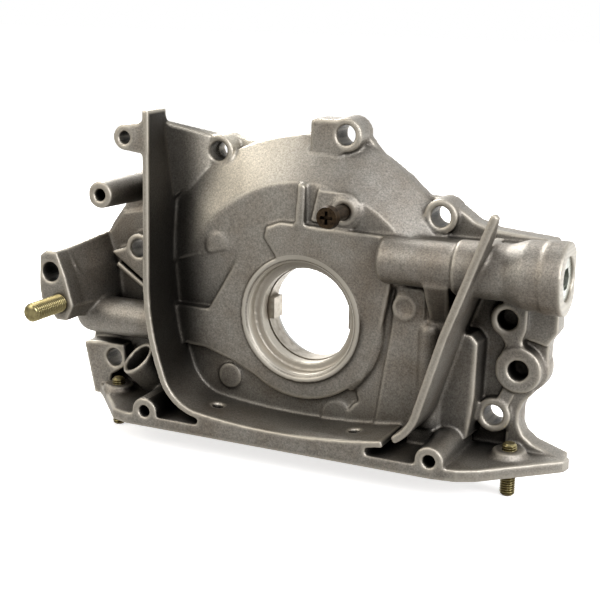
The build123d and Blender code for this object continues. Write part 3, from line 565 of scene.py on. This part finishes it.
# ------------------------------------------------------------------ the casting
@dataclass
class Casting:
    """The die-cast housing: the frame's solid with the rounded edges that a die leaves."""

    node: str = "pump_housing"
    body: str = "housing"
    slot: str = "cast_housing"
    voxel: float = 0.62              # mesh size, below the casting's smallest radius
    rounds: int = 5                  # smoothing rounds: edges end up with about a 0.8 mm radius
    face_budget: int = 196_000       # triangles left after thinning
    machined_hold: float = 0.85      # how far smoothing is held back at machined edges
    turned_radius: float = 27.6      # radius of the turned edges round the seal bore
    turned_front: float = -25.0      # those edges lie behind this
    rear_edge: float = -1.2          # the milled gasket face's edge lies behind this
    pan_edge: float = -49.6          # the milled pan face's edge lies below this
    edge_gain: float = 2.2           # raises the edge value to the range that the finish reads
    edge_spread: int = 3             # rounds that spread wear, painted highlight and painted shade beside an edge
    finish: DieCastAluminium = field(default_factory=DieCastAluminium)

    def build(self) -> bpy.types.Object:
        """Make the visible casting.

        Returns:
            The piece that stands for the housing's solid.
        """
        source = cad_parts[self.node]
        piece = bpy.data.objects.new("casting", source.data.copy())
        bpy.context.scene.collection.objects.link(piece)
        remesh = piece.modifiers.new("skin", "REMESH")
        remesh.mode = "VOXEL"
        remesh.voxel_size = self.voxel * MM
        apply_modifiers(piece)
        self.round_edges(piece.data)
        thin = piece.modifiers.new("fewer", "DECIMATE")
        thin.ratio = min(1.0, self.face_budget / (2 * len(piece.data.polygons)))
        apply_modifiers(piece)
        self.mark_edges(piece.data)
        piece.data.shade_smooth()
        piece.data.materials.clear()
        piece.data.materials.append(self.finish.build())
        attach(piece, self.body)
        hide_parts(self.node)
        LOG.info("casting: %d faces", len(piece.data.polygons))
        return piece

    def hold(self, points: np.ndarray) -> np.ndarray:
        """How strongly each point keeps its place while edges are rounded.

        Args:
            points: Places in metres.

        Returns:
            0 on cast skin, machined_hold on turned and milled edges.
        """
        x, y, z = points.T / MM
        turned = (np.hypot(x, z) < self.turned_radius) & (y > self.turned_front)
        milled = (y > self.rear_edge) | (z < self.pan_edge)
        return np.where(turned | milled, self.machined_hold, 0.0)

    def round_edges(self, mesh: bpy.types.Mesh) -> None:
        """Round the casting's edges and corners by averaging each point with its neighbours.

        Args:
            mesh: The casting's mesh, whose points move.
        """
        points, pairs, counts = self.graph(mesh)
        keep = self.hold(points)[:, None]
        for _ in range(self.rounds):
            total = np.zeros_like(points)
            for axis in range(3):
                total[:, axis] = self.neighbour_sum(points[:, axis], pairs)
            target = total / counts[:, None]
            points += (target - points) * 0.5 * (1 - keep)
        mesh.vertices.foreach_set("co", points.ravel())
        mesh.update()

    def mark_edges(self, mesh: bpy.types.Mesh) -> None:
        """Store how convex the skin is at each point, for worn edges with a painted highlight and for painted
        shade in inner edges.

        Args:
            mesh: The casting's mesh, which gets a point attribute named edge.
        """
        points, pairs, counts = self.graph(mesh)
        normals = np.empty(len(points) * 3)
        mesh.vertex_normals.foreach_get("vector", normals)
        normals = normals.reshape(-1, 3)
        mean = np.stack([self.neighbour_sum(normals[:, a], pairs) / counts for a in range(3)], 1)
        centre = np.stack([self.neighbour_sum(points[:, a], pairs) / counts for a in range(3)], 1)
        bend = 1 - np.linalg.norm(mean, axis=1)
        side = np.sign(np.einsum("ij,ij->i", points - centre, normals))
        value = np.sqrt(np.clip(bend, 0, 1)) * side
        for _ in range(self.edge_spread):
            value = 0.5 * value + 0.5 * self.neighbour_sum(value, pairs) / counts
        layer = mesh.attributes.new("edge", "FLOAT", "POINT")
        layer.data.foreach_set("value", (value * self.edge_gain).astype(np.float32))

    @staticmethod
    def graph(mesh: bpy.types.Mesh) -> tuple[np.ndarray, np.ndarray, np.ndarray]:
        """Read a mesh as a graph.

        Args:
            mesh: The mesh.

        Returns:
            Its points, its edges as pairs of points, and how many edges meet at each point.
        """
        points = np.empty(len(mesh.vertices) * 3)
        mesh.vertices.foreach_get("co", points)
        pairs = np.empty(len(mesh.edges) * 2, dtype=np.int32)
        mesh.edges.foreach_get("vertices", pairs)
        counts = np.maximum(np.bincount(pairs, minlength=len(mesh.vertices)), 1)
        return points.reshape(-1, 3), pairs.reshape(-1, 2), counts

    @staticmethod
    def neighbour_sum(values: np.ndarray, pairs: np.ndarray) -> np.ndarray:
        """Sum the values at each point's neighbours.

        Args:
            values: One value for each point.
            pairs: The edges, as pairs of points.

        Returns:
            One sum for each point.
        """
        size = len(values)
        ahead = np.bincount(pairs[:, 0], weights=values[pairs[:, 1]], minlength=size)
        behind = np.bincount(pairs[:, 1], weights=values[pairs[:, 0]], minlength=size)
        return ahead + behind


# ------------------------------------------------------------------ threaded pieces
@dataclass
class ThreadedStud:
    """Plated stud with a rolled thread and chamfered ends, in place of a plain solid."""

    node: str
    body: str
    slot: str
    finish: bpy.types.Material
    pitch: float
    thread_depth: float = 0.68       # share of the pitch
    root_flat: float = 0.12          # share of a half pitch that is flat at the root
    flank: float = 0.72              # share of a half pitch that the flank takes
    around: int = 48                 # points round each ring
    per_turn: int = 10               # rings in one pitch
    chamfer: float = 0.9
    dimple: float = 0.25             # depth of the dimple in each end
    sharp_deg: float = 50.0

    def build(self) -> bpy.types.Object:
        """Make the stud along its solid's longest side.

        Returns:
            The piece that stands for the solid.
        """
        low, high = (np.array(corner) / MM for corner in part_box(self.node))
        size = high - low
        axis = int(np.argmax(size))
        length, radius = float(size[axis]), float(np.min(size)) / 2
        points, faces = self.rings(length, radius)
        others = [a for a in range(3) if a != axis]
        centre = (low + high) / 2
        placed = np.empty_like(points)
        placed[:, axis] = points[:, 2] + low[axis]
        placed[:, others[0]] = points[:, 0] + centre[others[0]]
        placed[:, others[1]] = points[:, 1] + centre[others[1]]
        if axis == 1:                # the two other axes swap their order, which turns the faces inside out
            faces = [face[::-1] for face in faces]
        piece = mesh_object(self.node + "_thread", placed * MM, faces, self.sharp_deg)
        piece.data.materials.append(self.finish)
        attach(piece, self.body)
        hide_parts(self.node)
        LOG.info("%s: %d faces", piece.name, len(piece.data.polygons))
        return piece

    def rings(self, length: float, radius: float) -> tuple[np.ndarray, list]:
        """Thread surface as rings of points along Z, closed at both ends.

        Args:
            length: Stud length.
            radius: Crest radius.

        Returns:
            Points in millimetres and faces.
        """
        steps = max(8, round(length / self.pitch * self.per_turn))
        along = np.linspace(0, length, steps + 1)
        turn = np.arange(self.around) / self.around
        phase = (along[:, None] / self.pitch - turn[None, :]) % 1
        flank = np.clip((np.abs(2 * phase - 1) - self.root_flat) / self.flank, 0, 1)
        root = radius - self.thread_depth * self.pitch
        reach = root + (radius - root) * flank
        end = np.minimum(along, length - along)[:, None]
        reach = np.minimum(reach, radius - self.chamfer + end)
        angle = turn * 2 * math.pi
        height = np.broadcast_to(along[:, None], reach.shape)
        rings = np.stack([reach * np.cos(angle), reach * np.sin(angle), height], -1).reshape(-1, 3)
        n = self.around
        faces = [(j * n + i, j * n + (i + 1) % n, (j + 1) * n + (i + 1) % n, (j + 1) * n + i)
                 for j in range(steps) for i in range(n)]
        bottom, top = len(rings), len(rings) + 1
        points = np.concatenate([rings, [[0, 0, self.dimple], [0, 0, length - self.dimple]]])
        faces += [(bottom, (i + 1) % n, i) for i in range(n)]
        faces += [(top, steps * n + i, steps * n + (i + 1) % n) for i in range(n)]
        return points, faces


# ------------------------------------------------------------------ relief spring
@dataclass
class ReliefSpring:
    """Compression spring of the relief valve, which in the engine shortens as the piston opens; here it keeps its
    solid's shape.
    """

    finish: bpy.types.Material
    node: str = "relief_spring"
    joint: str = "relief_piston_slide"
    slot: str = "valve_steel"

    def build(self) -> bpy.types.Object:
        """Make the spring from its solid.

        Returns:
            The piece that stands for the spring's solid.
        """
        piece = bpy.data.objects.new("valve_spring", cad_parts[self.node].data.copy())
        bpy.context.scene.collection.objects.link(piece)
        piece.data.materials.clear()
        piece.data.materials.append(self.finish)
        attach(piece, "housing")
        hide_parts(self.node)
        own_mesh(piece)
        LOG.info("%s: %d faces", piece.name, len(piece.data.polygons))
        return piece


# ------------------------------------------------------------------ pieces that keep their solid
@dataclass
class DressedSolids:
    """Small machined pieces whose solids already have the right shape: they get edges and a finish."""

    looks: dict[str, Finish]
    edge: float = 0.18               # width of the broken edge of a machined piece
    edge_deg: float = 40.0           # edges that turn by more than this are broken

    def build(self, finishes: dict[Finish, bpy.types.Material]) -> None:
        """Give each solid its finish and a softened edge.

        Args:
            finishes: Built material of each finish.
        """
        for name, finish in self.looks.items():
            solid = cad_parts[name]
            solid.data.materials.clear()
            solid.data.materials.append(finishes[finish])
            bevel = solid.modifiers.new("broken_edge", "BEVEL")
            bevel.width = self.edge * MM
            bevel.segments = 2
            bevel.angle_limit = math.radians(self.edge_deg)
            LOG.info("%s: %s", name, finish.value.name)


# ------------------------------------------------------------------ studio
@dataclass(frozen=True)
class Lamp:
    """Soft square lamp that faces the pump."""

    name: str
    place: tuple[float, float, float]
    size: float                      # length of its side
    watts: float
    colour: str

    def build(self) -> None:
        """Add the lamp to the scene."""
        data = bpy.data.lights.new(self.name, "AREA")
        data.size = self.size * MM
        data.energy = self.watts
        data.color = linear(self.colour)[:3]
        lamp = bpy.data.objects.new(self.name, data)
        lamp.location = Vector(self.place) * MM
        lamp.rotation_euler = (-lamp.location).to_track_quat("-Z", "Y").to_euler()
        bpy.context.scene.collection.objects.link(lamp)


@dataclass
class Studio:
    """Pale floor, white surround, soft lamps and the camera."""

    eye: tuple[float, float, float] = (206.768, -468.538, 126.569)
    azimuth: float = 24.8971932
    elevation: float = 13.57055259
    roll: float = 1.12305584
    lens: float = 74.53
    sensor: float = 36.0
    floor_drop: float = 0.4          # clearance under the lowest stud
    floor_reach: float = 6000.0
    floor_glow: float = 0.72         # how white the floor is in the pump's shadow
    shadow_reach: tuple[float, float] = (160.0, 420.0)       # where the floor starts to whiten and is white
    ambient: float = 0.10            # the surround's share of the light on the pump
    front_mirror: float = 0.22       # how strongly metal mirrors what lies in front; behind, it is 1
    lamps: tuple[Lamp, ...] = (
        Lamp("top_left", (-500, -420, 640), 460, 2.1, "#fffaf2"),
        Lamp("front_left", (-520, -700, 380), 400, 2.1, "#fffaf2"),
        Lamp("front_right", (480, -640, 560), 420, 6.0, "#fcfcff"),
        Lamp("right", (780, -200, 260), 300, 3.4, "#fafbff"),
        Lamp("back", (-480, 420, 560), 420, 8.0, "#ffffff"),
    )

    def build(self) -> None:
        """Make the camera, world, floor and lamps."""
        self.camera()
        self.world()
        self.floor()
        for lamp in self.lamps:
            lamp.build()
        bpy.context.scene.view_settings.view_transform = "Standard"

    def camera(self) -> None:
        """Place the camera."""
        azimuth, elevation, roll = (math.radians(a) for a in (self.azimuth, self.elevation, self.roll))
        right = Vector((math.cos(azimuth), math.sin(azimuth), 0))
        ahead = Vector((-math.sin(azimuth) * math.cos(elevation), math.cos(azimuth) * math.cos(elevation),
                        -math.sin(elevation)))
        down = ahead.cross(right)
        side = right * math.cos(roll) - down * math.sin(roll)
        below = right * math.sin(roll) + down * math.cos(roll)
        data = bpy.data.cameras.new("camera")
        data.lens = self.lens
        data.sensor_width = self.sensor
        data.clip_start = 0.01
        camera = bpy.data.objects.new("camera", data)
        bpy.context.scene.collection.objects.link(camera)
        turn = Matrix((side, -below, -ahead)).transposed()
        camera.matrix_world = Matrix.Translation(Vector(self.eye) * MM) @ turn.to_4x4()
        bpy.context.scene.camera = camera

    def seen_share(self, tree: bpy.types.NodeTree, depth: bpy.types.NodeSocket, front: float,
                   back: float) -> bpy.types.NodeSocket:
        """How strongly a ray shows the white surround: fully to the camera and through glass, and on metal
        more of what lies behind the pump than of what lies in front.

        Args:
            tree: Node tree of the world or floor.
            depth: A value that grows from the front to the back.
            front: Depth up to which metal mirrors least.
            back: Depth from which it mirrors all.

        Returns:
            0 for the rays that only light the pump, up to 1 for those that show the surround.
        """
        path = add_node(tree, "ShaderNodeLightPath").outputs
        direct = maths(tree, "MAXIMUM", path["Is Camera Ray"], path["Is Transmission Ray"])
        reflected = ramp(tree, depth, front, back, self.front_mirror)
        mirrored = maths(tree, "MULTIPLY", path["Is Glossy Ray"], reflected)
        return maths(tree, "MAXIMUM", direct, mirrored)

    def world(self) -> None:
        """White surround: bright behind the pump, where metal mirrors it, and dim as a light."""
        world = bpy.data.worlds.new("surround")
        world.use_nodes = True
        tree = world.node_tree
        tree.nodes.clear()
        direction = add_node(tree, "ShaderNodeTexCoord").outputs["Generated"]
        ahead = add_node(tree, "ShaderNodeSeparateXYZ", {}, {"Vector": direction}).outputs["Y"]
        strength = maths(tree, "MAXIMUM", self.seen_share(tree, ahead, -0.3, 0.5), self.ambient)
        surround = add_node(tree, "ShaderNodeBackground", {"Color": (1, 1, 1, 1)}, {"Strength": strength})
        add_node(tree, "ShaderNodeOutputWorld", {}, {"Surface": surround.outputs[0]})
        bpy.context.scene.world = world

    def floor(self) -> None:
        """White floor just under the pump that keeps the pump's shadow and throws back little light."""
        level = CAD_BOX[0][2] / MM - self.floor_drop
        side = self.floor_reach
        corners = [(-side, -side, level), (side, -side, level), (side, side, level), (-side, side, level)]
        floor = mesh_object("floor", np.array(corners) * MM, [(0, 1, 2, 3)])
        floor.data.materials.append(self.white_floor())

    def white_floor(self) -> bpy.types.Material:
        """Matt white paper: pure white away from the pump, with a soft grey shadow under it.

        Returns:
            The floor's material.
        """
        material = bpy.data.materials.new("white_floor")
        material.use_nodes = True
        tree = material.node_tree
        shader = tree.nodes["Principled BSDF"]
        shader.inputs["Base Color"].default_value = linear("#f4f3f1")
        shader.inputs["Roughness"].default_value = 0.9
        shader.inputs["Specular IOR Level"].default_value = 0.0
        place = add_node(tree, "ShaderNodeTexCoord").outputs["Object"]
        ahead = add_node(tree, "ShaderNodeSeparateXYZ", {}, {"Vector": place}).outputs["Y"]
        away = add_node(tree, "ShaderNodeVectorMath", {"operation": "LENGTH"}, {0: place}).outputs["Value"]
        near, far = (reach * MM for reach in self.shadow_reach)
        glow = add_node(tree, "ShaderNodeEmission", {"Color": (1, 1, 1, 1)},
                        {"Strength": ramp(tree, away, near, far, self.floor_glow)})
        lit = add_node(tree, "ShaderNodeAddShader", {}, {0: shader.outputs[0], 1: glow.outputs[0]})
        dim = add_node(tree, "ShaderNodeBsdfDiffuse", {"Color": linear("#5f5d5a")})
        seen = self.seen_share(tree, ahead, -100 * MM, 150 * MM)
        mix = add_node(tree, "ShaderNodeMixShader", {}, {0: seen, 1: dim.outputs[0], 2: lit.outputs[0]})
        tree.links.new(mix.outputs[0], tree.nodes["Material Output"].inputs["Surface"])
        return material


def main() -> None:
    """Build the pump's looks and the studio in order."""
    logging.basicConfig(level=logging.INFO, format="%(name)s %(message)s")
    finishes = {finish: finish.value.build() for finish in Finish}
    Casting().build()
    yellow = finishes[Finish.YELLOW_ZINC]
    for node, pitch in (("bracket_stud", 1.25), ("pan_stud_left", 1.0), ("pan_stud_right", 1.0)):
        ThreadedStud(node, "housing", "yellow_zinc", yellow, pitch).build()
    ReliefSpring(finishes[Finish.GROUND]).build()
    DressedSolids({
        "inner_rotor": Finish.SINTERED,
        "outer_rotor": Finish.SINTERED,
        "rotor_cover_plate": Finish.GROUND,
        "cover_plate_screws": Finish.PHOSPHATED,
        "relief_piston": Finish.GROUND,
        "relief_valve_plug": Finish.ZINC,
        "belt_guard_screw": Finish.RUSTY_BLACK,
    }).build(finishes)
    Studio().build()


if __name__ == "__main__":
    main()
